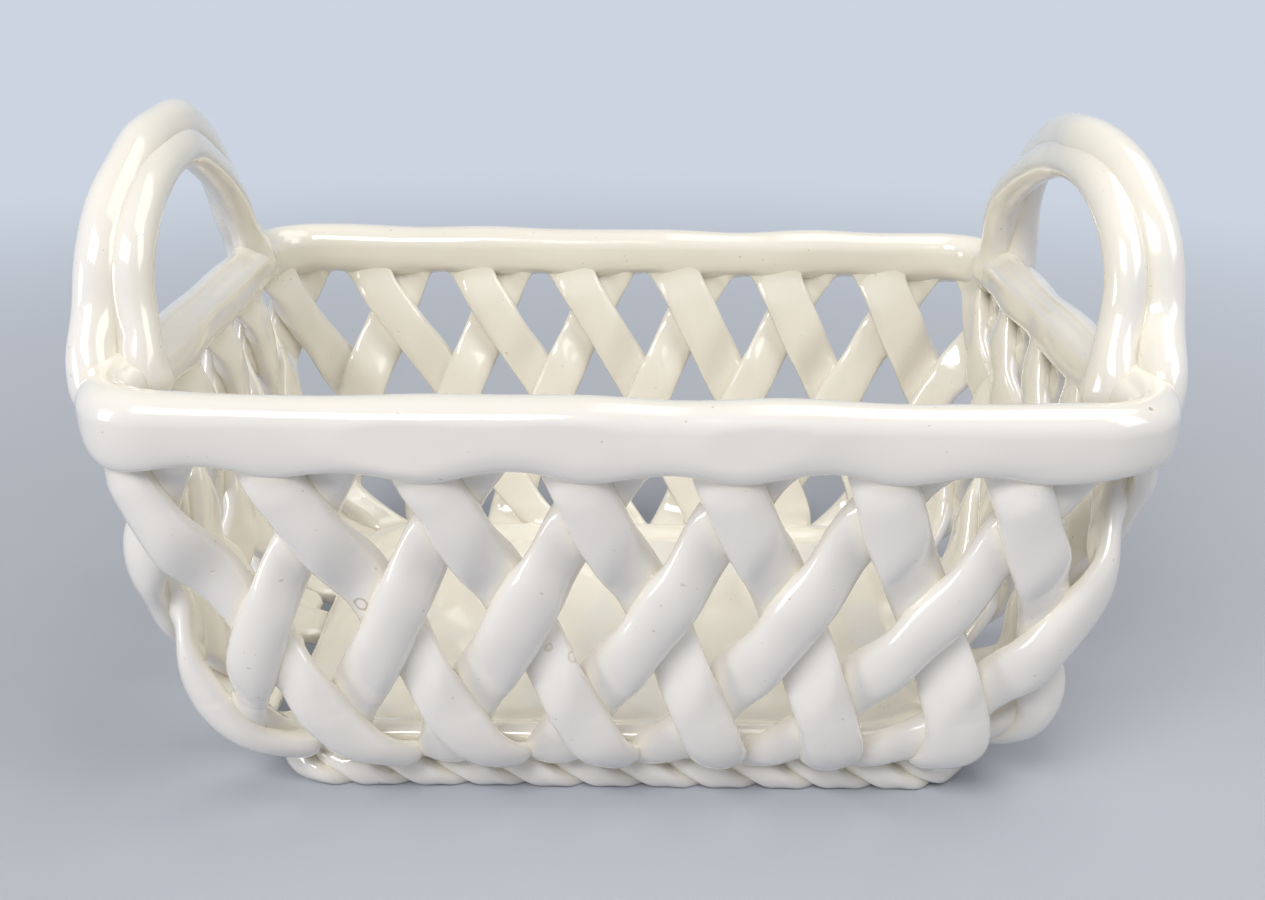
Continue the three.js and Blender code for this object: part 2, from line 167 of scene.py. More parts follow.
# Handles
OUTER_ROD = {
    "diameter": 0.0126,
    "foot_drop": 0.017,
    "tuck_share": 0.14,
    "tuck_power": 3,
    "taper_share": 0.72,
}
INNER_ROD = {
    "diameter": 0.011,
    "foot_drop": 0.0125,
    "tuck_share": 0.25,
    "tuck_power": 1,
    "taper_share": 1,
}
FOOT_TAPER_LENGTH = 0.01
SPRINGING_RISE = 0.0135
HANDLE_RISE = 0.0525
HANDLE_HALF_SPAN = 0.081
HANDLE_REACH = 0.014
LEG_FLARE_POWER = 1.5
ROD_LEG_STEPS = 30
ROD_ARCH_STEPS = 60
ROD_RINGS = 170
ROD_SIDES = 40
ROD_SMOOTHINGS = 40
ROD_RIPPLE = 0.00016
ROD_RIPPLE_LENGTH = 0.03

# Each rod's end, crown, and front and rear leg, as shares of the handle's rise, half span and
# reach
RODS = [
    {
        **OUTER_ROD,
        "name": "handle_left_outer_rod",
        "end": -1,
        "crown": {"along": 0.01, "height": 1, "out": 0.1},
        "front": {"span": 0.76, "out": 0.5, "foot_span": 0.9, "foot_out": 0.54, "shoulder": 0.5},
        "rear": {"span": 0.79, "out": 0.39, "foot_span": 0.99, "foot_out": 0.44, "shoulder": 0.22},
    },
    {
        **INNER_ROD,
        "name": "handle_left_inner_rod",
        "end": -1,
        "crown": {"along": -0.09, "height": 0.865, "out": -0.14},
        "front": {"span": 0.76, "out": -0.17, "foot_span": 0.84, "foot_out": -0.36, "shoulder": 0.55},
        "rear": {"span": 0.68, "out": 0.01, "foot_span": 0.83, "foot_out": -0.1, "shoulder": 0.2},
    },
    {
        **OUTER_ROD,
        "name": "handle_right_outer_rod",
        "end": 1,
        "crown": {"along": -0.13, "height": 1, "out": -0.19},
        "front": {"span": 0.71, "out": 0.6, "foot_span": 0.93, "foot_out": 0.4, "shoulder": 0.55},
        "rear": {"span": 0.82, "out": 0.24, "foot_span": 0.86, "foot_out": 0.42, "shoulder": 0.48},
    },
    {
        **INNER_ROD,
        "name": "handle_right_inner_rod",
        "end": 1,
        "crown": {"along": -0.17, "height": 0.87, "out": -0.35},
        "front": {"span": 0.74, "out": -0.17, "foot_span": 0.85, "foot_out": -0.45, "shoulder": 0.55},
        "rear": {"span": 0.78, "out": -0.36, "foot_span": 0.91, "foot_out": -0.15, "shoulder": 0.36},
    },
]

# How far off a neighbour glaze and slip still round the crease between the two
STRAP_CREASE = 0.0032
ROPE_CREASE = 0.0026
ROD_CREASE = 0.004
OUTER_FOOT_CREASE = 0.005
INNER_FOOT_CREASE = 0.007
TINT_REACH = 0.0042
OUTWARD_POWER = 6
# Share of the painted warm light that upward-facing surfaces get, standing in for light from above
PAINTED_WARM_LIGHT_TOP_SHARE = 0.6
BLEND_SMOOTHINGS = 5

# How many times its growth a crease reaches, the rows at which a strap meets those that cross
# it, and a length that keeps a direction from vanishing
REACH_PER_GROWTH = 3
MEETING_ROWS = range(-1, 4)
TINY = 1e-9

# Cosines of the angle from the surface's outward direction: past the first a neighbour lies
# behind and has no say, and from the second on it has its full say
BEHIND_COSINE = -0.7
BESIDE_COSINE = -0.1

# Glaze colours and a painted warm light, the shares by which one lies over the other, and the ranges
# over which they do
THIN_COLOUR = (0.82, 0.78, 0.75, 1)
THICK_COLOUR = (0.85, 0.82, 0.77, 1)
# Painted warm light: cream laid on inward- and upward-facing surfaces, standing in for light from
# above and light bounced round the inside
PAINTED_WARM_LIGHT_COLOUR = (0.88, 0.84, 0.73, 1)
PAINTED_WARM_LIGHT_SHARE = 0.85
PAINTED_WARM_LIGHT_FROM = 0.2
PAINTED_WARM_LIGHT_FULL = 0.8
POOL_COLOUR = (0.84, 0.79, 0.67, 1)
POOL_SHARE = 0.75
POOL_FROM = 0.1
POOL_FULL = 0.9
SPECK_COLOUR = (0.42, 0.35, 0.26, 1)
SPECK_SHARE = 0.4
MARK_COLOUR = (0.45, 0.34, 0.22, 1)

# Noise scales and details, the ranges taken from them, gloss and bumps
CLOUD_SCALE = 22
CLOUD_DETAIL = 4
SPECK_SCALE = 640
SPECK_DETAIL = 0
SPECK_FROM = 0.85
SPECK_FULL = 0.88
ROUGH_SCALE = 60
ROUGH_DETAIL = 2
ROUGH_FROM = 0.3
ROUGH_FULL = 0.7
ROUGH_LOW = 0.1
ROUGH_HIGH = 0.18
GLAZE_IOR = 1.6
COAT_WEIGHT = 0.75
COAT_ROUGHNESS = 0.06
FLOW_SCALE = 42
FLOW_DETAIL = 1
FLOW_STRENGTH = 0.7
FLOW_HEIGHT = 0.0012
PEEL_SCALE = 190
PEEL_DETAIL = 2
PEEL_STRENGTH = 0.2
PEEL_HEIGHT = 0.0004
PIT_STRENGTH = 0.6
PIT_DEPTH = 0.0003
MARK_NOISE_SCALE = 380
MARK_NOISE_DETAIL = 1
MARK_NOISE = 0.0012

# Marks in the glaze: place, radius, width of the line and strength
GLAZE_MARKS = [
    ((-0.0711, -0.0925, 0.0705), 0.0019, 0.0004, 0.6),
    ((-0.0215, -0.0905, 0.0572), 0.0013, 0.0004, 0.35),
    ((-0.0147, -0.0909, 0.0542), 0.0013, 0.0003, 0.45),
    ((0.1289, -0.0992, 0.1305), 0.0003, 0.0005, 0.8),
    ((-0.0685, -0.0738, 0.0059), 0.001, 0.0003, 0.3),
]

# Camera
CAMERA_PLACE = (-0.0032, -0.4237, 0.2428)
CAMERA_PITCH = 0.3673
CAMERA_YAW = 0.0114
CAMERA_ROLL = 0.0159
CAMERA_LENS = 39.55
CAMERA_SENSOR = 36.0

# Studio: the floor, the distances over which it takes on the backdrop's tone, and the light
GROUND_COLOUR = (0.48, 0.51, 0.57, 1)
GROUND_ROUGHNESS = 0.85
GROUND_SIZE = 14
BACKDROP_COLOUR = (0.60, 0.66, 0.75, 1)
FADE_FROM = 0.2
FADE_FULL = 1.05
WORLD_COLOUR = (1, 0.99, 0.98, 1)
WORLD_STRENGTH = 0.2
LAMP_TARGET = (0, 0, 0.08)

# Lamps: name, place, size, watts and colour
LAMPS = [
    ("key", (-0.75, -1.6, 1.85), (1.2, 0.8), 33, (1, 0.985, 0.965)),
    ("fill", (1.3, -0.7, 1.2), (0.9, 0.9), 7, (1, 0.985, 0.965)),
    ("top", (0.6, 0, 1.55), (1.4, 1.1), 9, (1, 0.985, 0.95)),
    ("streak", (-1.45, -0.6, 0.3), (0.4, 0.7), 7, (1, 1, 1)),
]

# Smooth noise: how many waves add up to it, and the range of their paces
RIPPLE_WAVES = 14
RIPPLE_PACES = (0.6, 1.5)

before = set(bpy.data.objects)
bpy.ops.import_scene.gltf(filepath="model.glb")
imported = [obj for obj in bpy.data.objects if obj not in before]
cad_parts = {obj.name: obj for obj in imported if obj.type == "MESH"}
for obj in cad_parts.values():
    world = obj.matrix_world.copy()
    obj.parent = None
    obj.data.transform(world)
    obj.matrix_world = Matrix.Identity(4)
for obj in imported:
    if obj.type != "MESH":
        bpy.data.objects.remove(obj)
cad_low, cad_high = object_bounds()

# Sizes that follow from those above
rim_half_x = (RIM_LENGTH - RIM_THICKNESS) / 2
rim_half_y = (RIM_DEPTH - RIM_THICKNESS) / 2
weave_lift = (STRAP_THICKNESS + CLEARANCE) / 2
rope_radius = (ROPE_HEIGHT + ROPE_FLAT) / 2
wall_top = RIM_TOP - WALL_BURY
wall_foot = ROPE_HEIGHT + CLEARANCE + weave_lift
straight_drop = wall_top - HEEL_HEIGHT
heel_turn = (SIDE_HEEL_TURN + END_HEEL_TURN) / 2
heel_rise = (HEEL_HEIGHT - wall_foot) / math.sin(heel_turn)
wall_length = straight_drop + heel_rise * heel_turn
first_row = RIM_OUTSIDE_HEIGHT + FIRST_ROW_DROP - WALL_BURY
floor_underside = ROPE_HEIGHT + CLEARANCE
floor_top = floor_underside + FLOOR_THICKNESS


def lerp(start, end, share):
    return start + (end - start) * share


def smooth_step(share):
    share = np.clip(share, 0, 1)
    return share * share * (3 - 2 * share)


def unit(vectors):
    return vectors / np.linalg.norm(vectors, axis=-1, keepdims=True)


def eased(before, here, after):
    """Values evened out with their neighbours"""
    return (before + 2 * here + after) / 4


def round_angles(count):
    return 2 * math.pi * np.arange(count) / count


def lengths_walked(path):
    """How far along a path each of its points lies"""
    steps = np.linalg.norm(np.diff(path, axis=0), axis=1)
    return np.concatenate([[0], np.cumsum(steps)])


def ripple(points, wavelength, seed):
    """Smooth noise of about one unit each way, the same on every run"""
    random = np.random.default_rng(seed)
    directions = unit(random.normal(size=(RIPPLE_WAVES, 3)))
    paces = 2 * math.pi / wavelength * random.uniform(*RIPPLE_PACES, RIPPLE_WAVES)
    phases = random.uniform(0, 2 * math.pi, RIPPLE_WAVES)
    waves = np.sin(points @ (directions * paces[:, None]).T + phases)
    return waves.sum(axis=-1) / math.sqrt(RIPPLE_WAVES)


def rounded_rectangle(half_x, half_y, radius, distance):
    """Points of a rounded rectangle at distances along it from the middle of its front,
    counter-clockwise from above, with their outward directions"""
    front = half_x - radius
    side = half_y - radius
    quarter = math.pi / 2 * radius
    total = 4 * (front + side + quarter)
    along = np.mod(distance, total)
    ends = [front]
    for length in (quarter, 2 * side, quarter, 2 * front, quarter, 2 * side, quarter):
        ends.append(ends[-1] + length)
    bent = sum(np.clip(along - ends[i], 0, quarter) for i in (0, 2, 4, 6))
    angle = bent / radius - math.pi / 2
    middle_x = (np.clip(along, 0, front) - np.clip(along - ends[3], 0, 2 * front)
                + np.clip(along - ends[7], 0, front))
    middle_y = (np.clip(along - ends[1], 0, 2 * side) - np.clip(along - ends[5], 0, 2 * side)
                - side)
    out = np.stack([np.cos(angle), np.sin(angle), np.zeros_like(angle)], axis=-1)
    middle = np.stack([middle_x, middle_y, np.zeros_like(angle)], axis=-1)
    return middle + radius * out, out


def rounded_rectangle_length(half_x, half_y, radius):
    return 4 * (half_x + half_y - 2 * radius) + 2 * math.pi * radius


def heel_share(drop, full_turn):
    """How far a heel that turns by an angle has drawn in at a drop below its start"""
    sine = np.sin(full_turn) * drop / (HEEL_HEIGHT - wall_foot)
    return (1 - np.sqrt(np.maximum(1 - sine * sine, 0))) / (1 - math.cos(full_turn))


def wall_level(down):
    """The wall's middle surface at distances down it: height, side inset and end inset, with
    the bend into the heel eased"""
    levels = [np.array(sharp_wall_level(down + step * HEEL_BLEND)) * share
              for step, share in HEEL_BLEND_SHARES]
    return sum(levels)


def sharp_wall_level(down):
    turn = np.clip((down - straight_drop) / heel_rise, 0, heel_turn)
    drop = heel_rise * np.sin(turn)
    past = np.maximum(down - wall_length, 0)
    share = np.clip(down / straight_drop, None, 1)
    height = np.where(down < straight_drop, wall_top - down, HEEL_HEIGHT - drop)
    side_heel = (SIDE_ROPE_INSET - ROPE_LAP - SIDE_HEEL_INSET) * heel_share(drop, SIDE_HEEL_TURN)
    end_heel = (END_ROPE_INSET - ROPE_LAP - END_HEEL_INSET) * heel_share(drop, END_HEEL_TURN)
    side_inset = lerp(WALL_TOP_INSET, SIDE_HEEL_INSET, share) + side_heel + past
    end_inset = lerp(WALL_TOP_INSET, END_HEEL_INSET, share) + end_heel + past
    return height, side_inset, end_inset


def strap_spacing(down):
    """The distance between neighbouring straps at distances down the wall"""
    _, side_inset, end_inset = wall_level(down)
    return rounded_rectangle_length(
        rim_half_x - end_inset, rim_half_y - side_inset, RIM_CORNER_RADIUS) / STRAPS_EACH_WAY


def wall_point(place, down):
    """Points of the wall's middle surface. Places are counted in straps round it"""
    height, side_inset, end_inset = wall_level(down)
    drift = LAYING_DRIFT_SHARE * (1 - np.cos(2 * math.pi * place / STRAPS_EACH_WAY)) / 2
    distance = (place + drift) * strap_spacing(down)
    half_x = rim_half_x - end_inset
    half_y = rim_half_y - side_inset
    point, _ = rounded_rectangle(half_x, half_y, RIM_CORNER_RADIUS, distance)
    depth_share = np.clip(down / wall_length, 0, 1)
    radius = lerp(RIM_CORNER_RADIUS, LOW_CORNER_RADIUS, smooth_step(depth_share))
    point = rounder_corners(point, half_x, half_y, radius)
    point[..., 0] += end_shift(point[..., 0] / half_x, depth_share)
    point[..., 2] = height
    return point


def rounder_corners(point, half_x, half_y, radius):
    """Draws points outside a larger corner radius in to it"""
    beyond_x = np.abs(point[..., 0]) - (half_x - radius)
    beyond_y = np.abs(point[..., 1]) - (half_y - radius)
    distance = np.hypot(beyond_x, beyond_y)
    corner = (beyond_x > 0) & (beyond_y > 0) & (distance > radius)
    excess = np.where(corner, 1 - radius / np.maximum(distance, radius), 0)
    rounded = point.copy()
    rounded[..., 0] -= np.sign(point[..., 0]) * beyond_x * excess
    rounded[..., 1] -= np.sign(point[..., 1]) * beyond_y * excess
    return rounded


def end_shift(x_share, depth_share):
    """How far the wall stands to the right of its even place"""
    weight = smooth_step((np.abs(x_share) - LEAN_START_SHARE) / (1 - LEAN_START_SHARE))
    belly = np.where(x_share < 0, -LEFT_END_BELLY, RIGHT_END_BELLY)
    return weight * belly * np.sin(math.pi * depth_share)


def wall_normal(place, down):
    across = wall_point(place + PROBE_SHARE, down) - wall_point(place - PROBE_SHARE, down)
    along = wall_point(place, down + PROBE_DEPTH) - wall_point(place, down - PROBE_DEPTH)
    return unit(np.cross(along, across))


def weave_share(row):
    """How far a strap lies out of the middle surface, as a share of the weave's lift"""
    swing = np.cos(math.pi * row) / math.cos(math.pi * CROSSING_HALF_SHARE)
    level = np.sin(math.pi / 2 * np.clip(swing, np.where(row < 0, 0, -1), 1))
    return np.where(row > LAST_CROSSING, 1, level)


def oval(sides, upper_power, lower_power):
    """A closed section from -1 to 1 each way, with its own roundness above and below"""
    angle = round_angles(sides)
    cosine = np.cos(angle)
    sine = np.sin(angle)
    power = 2 / np.where(sine > 0, upper_power, lower_power)
    return np.sign(cosine) * np.abs(cosine) ** power, np.sign(sine) * np.abs(sine) ** power


def end_share(to_end, rounding, power=2):
    """The share of the full width at a distance from a rounded end"""
    share = np.clip(to_end / rounding, 0, 1)
    return np.maximum(1 - (1 - share) ** power, 0) ** (1 / power)


def loft(rings, joined):
    """Points and faces of a closed surface through rings of points"""
    count, sides, _ = rings.shape
    points = rings.reshape(-1, 3)
    spans = count if joined else count - 1
    here = (np.arange(spans) * sides)[:, None]
    following = (np.mod(np.arange(spans) + 1, count) * sides)[:, None]
    side = np.arange(sides)[None, :]
    beside = np.mod(side + 1, sides)
    quads = np.stack([here + side, here + beside, following + beside, following + side], axis=-1)
    faces = quads.reshape(-1, 4).tolist()
    if not joined:
        points = np.vstack([points, rings[0].mean(axis=0), rings[-1].mean(axis=0)])
        last = (count - 1) * sides
        for k in range(sides):
            after = (k + 1) % sides
            faces.append([count * sides, after, k])
            faces.append([count * sides + 1, last + k, last + after])
    return points, faces


def outward_directions(points):
    """Level directions out of the basket, each way by how near its wall is"""
    shares = points * [1 / rim_half_x, 1 / rim_half_y, 0]
    return unit(np.sign(shares) * np.abs(shares) ** OUTWARD_POWER + [TINY, 0, 0])


class Piece:
    """A fine surface that stands for the solid of its name"""

    def __init__(self, name, rings, joined, swell, swell_length):
        self.name = name
        self.joined = joined
        self.grid = rings.shape[:2]
        self.points, self.faces = loft(rings, joined)
        mesh = bpy.data.meshes.new(name)
        mesh.from_pydata(self.points.tolist(), [], self.faces)
        mesh.update()
        self.mesh = mesh
        self.refresh_normals()
        seed = sum(ord(letter) * (i + 1) for i, letter in enumerate(name))
        waves = swell * ripple(self.points, swell_length, seed)
        self.points = self.points + self.normals * waves[:, None]
        self.tree = BVHTree.FromPolygons(self.points.tolist(), self.faces)
        self.low = self.points.min(axis=0)
        self.high = self.points.max(axis=0)
        self.crease = np.zeros(len(self.points))
        self.growth = np.zeros(len(self.points))

    def refresh_normals(self):
        normals = np.zeros(len(self.points) * 3, np.float32)
        self.mesh.vertex_normals.foreach_get("vector", normals)
        self.normals = normals.reshape(-1, 3).astype(float)

    def fuse(self, others, reach):
        """Swells the surface towards its neighbours, as slip and glaze round such a crease"""
        seen = max(reach, TINT_REACH)
        for other in others:
            close = np.all((self.points > other.low - seen) & (self.points < other.high + seen),
                           axis=1)
            for i in np.flatnonzero(close):
                point = Vector(self.points[i])
                found, normal, _, distance = other.tree.find_nearest(point, seen)
                if found is None or distance == 0:
                    continue
                towards = (found - point) / distance
                inside = towards.dot(normal) > 0
                say = 1
                if not inside:
                    cosine = towards.dot(Vector(self.normals[i]))
                    say = (cosine - BEHIND_COSINE) / (BESIDE_COSINE - BEHIND_COSINE)
                    say = min(max(say, 0), 1)
                away = min(max(1 - distance / reach, 0), 1)
                growth = reach / REACH_PER_GROWTH * (away if inside else away * away * say)
                tint = 1 if inside else say * max(1 - distance / TINT_REACH, 0)
                self.growth[i] = max(self.growth[i], growth)
                self.crease[i] = max(self.crease[i], tint)

    def smoothed(self, values):
        """Values evened out over the surface, ring by ring and round each ring"""
        rings, sides = self.grid
        body = values[:rings * sides].reshape(rings, sides)
        for _ in range(BLEND_SMOOTHINGS):
            body = eased(np.roll(body, 1, axis=1), body, np.roll(body, -1, axis=1))
            if self.joined:
                body = eased(np.roll(body, 1, axis=0), body, np.roll(body, -1, axis=0))
            else:
                padded = np.vstack([body[:1], body, body[-1:]])
                body = eased(padded[:-2], body, padded[2:])
        return np.concatenate([body.ravel(), values[rings * sides:]])

    def finish(self, material):
        points = self.points + self.normals * self.smoothed(self.growth)[:, None]
        points[:, 2] = np.maximum(points[:, 2], 0)
        points = np.clip(points, np.array(cad_low), np.array(cad_high))
        self.mesh.vertices.foreach_set("co", points.astype(np.float32).ravel())
        self.mesh.polygons.foreach_set("use_smooth", [True] * len(self.mesh.polygons))
        crease = self.mesh.attributes.new("crease", "FLOAT", "POINT")
        crease.data.foreach_set("value", self.smoothed(self.crease).astype(np.float32))
        # Painted warm light: surfaces facing into the basket, and upward-facing ones by a share, are
        # marked for the cream of light from above and light bounced inside
        facing_in = -np.einsum("ij,ij->i", self.normals, outward_directions(self.points))
        inside = np.clip(facing_in, 0, 1) + PAINTED_WARM_LIGHT_TOP_SHARE * np.clip(self.normals[:, 2], 0, 1)
        painted_warm_light = self.mesh.attributes.new("inside", "FLOAT", "POINT")
        painted_warm_light.data.foreach_set("value", self.smoothed(np.clip(inside, 0, 1)).astype(np.float32))
        self.mesh.materials.append(material)
        self.mesh.update()
        thing = bpy.data.objects.new(self.name + "_glazed", self.mesh)
        bpy.context.scene.collection.objects.link(thing)
        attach(thing, "root")
        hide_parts(self.name)


def strap_rings(side, number):
    """One strap. side 1 leans left going up, as seen from outside, and side -1 leans right"""
    random = np.random.default_rng(STRAP_SEEDS[side] + number)
    lean = LEFT_LEAN_SHARE if side > 0 else LEFT_LEAN_SHARE - 1
    length = wall_length + (-LEFT_STRAP_TRIM if side > 0 else RIGHT_STRAP_TAIL)
    stations = np.linspace(0, 1, STRAP_RINGS)
    middle_down = (length * stations)[:, None]
    to_end = length - middle_down
    spacing = strap_spacing(middle_down)
    slope = lean * spacing / ROW_PITCH
    spread = 1 + STRAP_WIDTH_SPREAD_SHARE * random.uniform(-1, 1)
    rounding = STRAP_END_ROUNDING if side > 0 else STRAP_THICKNESS
    tip = end_share(to_end, rounding, STRAP_END_POWER)
    top_shift, foot_shift, width_share = HAND_LAID.get((side, number), EVENLY_LAID)
    half_width = (STRAP_WIDTH / 2 * BARE_WIDTH_SHARE * width_share * spread
                  * np.hypot(1, slope) * tip)
    thickness = STRAP_THICKNESS * end_share(to_end, STRAP_THICKNESS / 2)
    across_share, through_share = oval(STRAP_SIDES, STRAP_FACE_POWER, STRAP_BACK_POWER)
    fullness = np.where(through_share > 0, STRAP_FACE_FULLNESS, STRAP_BACK_FULLNESS)
    bared = smooth_step((middle_down - BURIED_FROM) / (BURIED_TO - BURIED_FROM))
    through_share = through_share * fullness * lerp(BURIED_FULLNESS_SHARE, 1, bared)
    across = across_share * half_width / spacing
    heel = smooth_step((middle_down - straight_drop) / (wall_length - straight_drop))
    heel_skew = LEFT_HEEL_SKEW_SHARE if side > 0 else RIGHT_HEEL_SKEW_SHARE
    skew = lerp(1, heel_skew, heel) * slope / (1 + slope ** 2)
    down = np.maximum(middle_down - skew * across * spacing, 0)
    row = (down - first_row) / ROW_PITCH
    turns = down / ROW_PITCH / 2 + random.uniform()
    wander = STRAP_WANDER / spacing * np.sin(2 * math.pi * turns)
    shift = lerp(top_shift, foot_shift, down / wall_length)
    place = number + START_SHARE + lean * row + across + wander + shift
    if side > 0:
        sunk = 1 - LEFT_STRAP_SINK_SHARE * smooth_step((down - length) / LEFT_STRAP_SINK + 1)
    else:
        sunk = 1 - smooth_step((down - wall_length) / RIGHT_STRAP_SINK + 1)
    lift = side * weave_lift * weave_share(row + side * (across + shift)) * sunk
    out = lift + through_share * thickness / 2
    return wall_point(place, down) + wall_normal(place, down) * out[..., None]


def rim_rings():
    length = rounded_rectangle_length(rim_half_x, rim_half_y, RIM_CORNER_RADIUS)
    distance = length * np.arange(RIM_RINGS) / RIM_RINGS
    middle, out = rounded_rectangle(rim_half_x, rim_half_y, RIM_CORNER_RADIUS, distance)
    out_share, up_share = oval(RIM_SIDES, RIM_TOP_POWER, RIM_FOOT_POWER)
    half = RIM_THICKNESS / 2
    crown = RIM_TOP - half
    place = STRAPS_EACH_WAY * distance / length
    wave = RIM_EDGE_WAVE * np.cos(2 * math.pi * (place - START_SHARE))
    outside_drop = RIM_OUTSIDE_HEIGHT - half + wave[:, None]
    inside_drop = RIM_INSIDE_HEIGHT - half
    drop = lerp(inside_drop, outside_drop, smooth_step((out_share + 1) / 2))
    height = crown + np.where(up_share > 0, half, drop) * up_share
    short_end = smooth_step(2 * np.abs(out[:, 0]) - 1)[:, None]
    groove = np.exp(-((out_share - GROOVE_PLACE_SHARE) / GROOVE_WIDTH_SHARE) ** 2)
    groove = groove * np.clip(up_share - GROOVE_START_SHARE, 0, 1)
    depth = GROOVE_DEPTH * short_end * groove[None, :]
    outward = half * out_share[None, :] + depth * np.clip(-out_share, 0, 1)[None, :]
    rings = middle[:, None, :] + out[:, None, :] * outward[..., None]
    rings[..., 2] = height - depth * np.clip(up_share, 0, 1)[None, :]
    return rings[:, ::-1]


def strand_rings(phase):
    strand_radius = (rope_radius - CLEARANCE / 2) / 2 * STRAND_FULLNESS
    orbit = rope_radius - strand_radius
    half_x = rim_half_x - END_ROPE_INSET + ROPE_END_REACH
    half_y = rim_half_y - SIDE_ROPE_INSET
    length = rounded_rectangle_length(half_x, half_y, ROPE_CORNER_RADIUS)
    share = np.arange(STRAND_RINGS) / STRAND_RINGS
    middle, out = rounded_rectangle(half_x, half_y, ROPE_CORNER_RADIUS, length * share)
    twist = (phase - 2 * math.pi * STRAND_TURNS * share)[:, None]
    angle = round_angles(STRAND_SIDES)
    away = orbit + strand_radius * np.cos(angle)
    beside = STRAND_WIDTH / 2 * np.sin(angle)
    outward = away * np.cos(twist) - beside * np.sin(twist)
    upward = away * np.sin(twist) + beside * np.cos(twist)
    rings = middle[:, None, :] + out[:, None, :] * outward[..., None]
    rings[..., 2] = rope_radius - ROPE_FLAT + upward
    return rings[:, ::-1]


def floor_rings():
    draw_in = FLOOR_DRAW_IN - ROPE_LAP
    half_x = rim_half_x - END_ROPE_INSET - draw_in
    half_y = rim_half_y - SIDE_ROPE_INSET - draw_in
    radius = FLOOR_CORNER_RADIUS
    length = rounded_rectangle_length(half_x, half_y, radius)
    middle, out = rounded_rectangle(
        half_x, half_y, radius, length * np.arange(FLOOR_AROUND) / FLOOR_AROUND)
    steps = np.arange(FLOOR_INWARD) / (FLOOR_INWARD - 1)
    inward = lerp(1, FLOOR_CORE_SHARE, steps ** FLOOR_SPREAD_POWER)
    turns = math.pi / 2 * np.arange(FLOOR_ROUNDING_STEPS + 1) / FLOOR_ROUNDING_STEPS
    rings = []
    under_edge = middle - out * FLOOR_UNDER_ROUNDING
    for share in inward[:0:-1]:
        rings.append(under_edge * [share, share, 0] + [0, 0, floor_underside])
    for turn in turns:
        ring = middle - out * FLOOR_UNDER_ROUNDING * (1 - math.sin(turn))
        rings.append(ring + [0, 0, floor_underside + FLOOR_UNDER_ROUNDING * (1 - math.cos(turn))])
    for turn in turns:
        ring = middle - out * FLOOR_EDGE_ROUNDING * (1 - math.cos(turn))
        rise = FLOOR_LIP_RISE - FLOOR_EDGE_ROUNDING * (1 - math.sin(turn))
        rings.append(ring + [0, 0, floor_top + rise])
    upper_edge = middle - out * FLOOR_EDGE_ROUNDING
    for share in inward[1:]:
        lip = FLOOR_LIP_RISE * (1 - smooth_step((1 - share) / FLOOR_LIP_WIDTH_SHARE))
        rings.append(upper_edge * [share, share, 0] + [0, 0, floor_top + lip])
    rings = np.array(rings)
    rings[..., 0] += end_shift(rings[..., 0] / half_x, 1)
    return rings


def rod_half_path(rod, leg, side):
    """Half of a rod's path, from a foot to the crown, as along, height and out"""
    foot_height = RIM_TOP - rod["foot_drop"]
    springing_height = RIM_TOP + SPRINGING_RISE
    height = lerp(foot_height, springing_height, np.arange(ROD_LEG_STEPS) / ROD_LEG_STEPS)
    fall = np.minimum((springing_height - height) / SPRINGING_RISE, 1)
    below = np.clip((RIM_TOP - height) / rod["foot_drop"], 0, 1)
    span = lerp(leg["span"], leg["foot_span"], fall ** LEG_FLARE_POWER)
    tuck = rod["tuck_share"] * below ** rod["tuck_power"]
    out = lerp(leg["out"], leg["foot_out"], smooth_step(fall)) - tuck
    lower = np.stack([side * HANDLE_HALF_SPAN * span, height, HANDLE_REACH * out], axis=-1)
    springing = np.array(
        [side * HANDLE_HALF_SPAN * leg["span"], springing_height, HANDLE_REACH * leg["out"]])
    crown = rod_crown(rod)
    above = springing.copy()
    above[1] = lerp(springing[1], crown[1], leg["shoulder"])
    beside = lerp(crown, springing, leg["shoulder"])
    beside[1] = crown[1]
    share = (np.arange(ROD_ARCH_STEPS) / ROD_ARCH_STEPS)[:, None]
    rest = 1 - share
    arch = (rest ** 3 * springing + 3 * rest ** 2 * share * above
            + 3 * rest * share ** 2 * beside + share ** 3 * crown)
    return np.vstack([lower, arch])


def rod_crown(rod):
    crown = rod["crown"]
    return np.array([HANDLE_HALF_SPAN * crown["along"], RIM_TOP + HANDLE_RISE * crown["height"],
                     HANDLE_REACH * crown["out"]])


def rod_rings(rod):
    front = rod_half_path(rod, rod["front"], -1)
    rear = rod_half_path(rod, rod["rear"], 1)[::-1]
    path = np.vstack([front, rod_crown(rod), rear])
    walked = lengths_walked(path)
    stations = np.linspace(0, walked[-1], ROD_RINGS)
    path = np.stack([np.interp(stations, walked, path[:, i]) for i in range(3)], axis=-1)
    for _ in range(ROD_SMOOTHINGS):
        path[1:-1] = eased(path[:-2], path[1:-1], path[2:])
    along, height, out = path.T
    middle = np.stack([rod["end"] * (rim_half_x + out), along, height], axis=-1)
    tangent = unit(np.gradient(middle, axis=0))
    outward = np.array([rod["end"], 0, 0])
    in_plane = unit(np.cross(tangent, outward))
    through = unit(np.cross(in_plane, tangent))
    walked = lengths_walked(middle)
    radius = rod["diameter"] / 2
    to_end = np.minimum(walked, walked[-1] - walked)
    taper = lerp(rod["taper_share"], 1, smooth_step(to_end / FOOT_TAPER_LENGTH))
    width = (radius * taper * end_share(to_end, radius))[:, None, None]
    angle = round_angles(ROD_SIDES)[None, :, None]
    return (middle[:, None, :] + width * np.cos(angle) * through[:, None, :]
            + width * np.sin(angle) * in_plane[:, None, :])


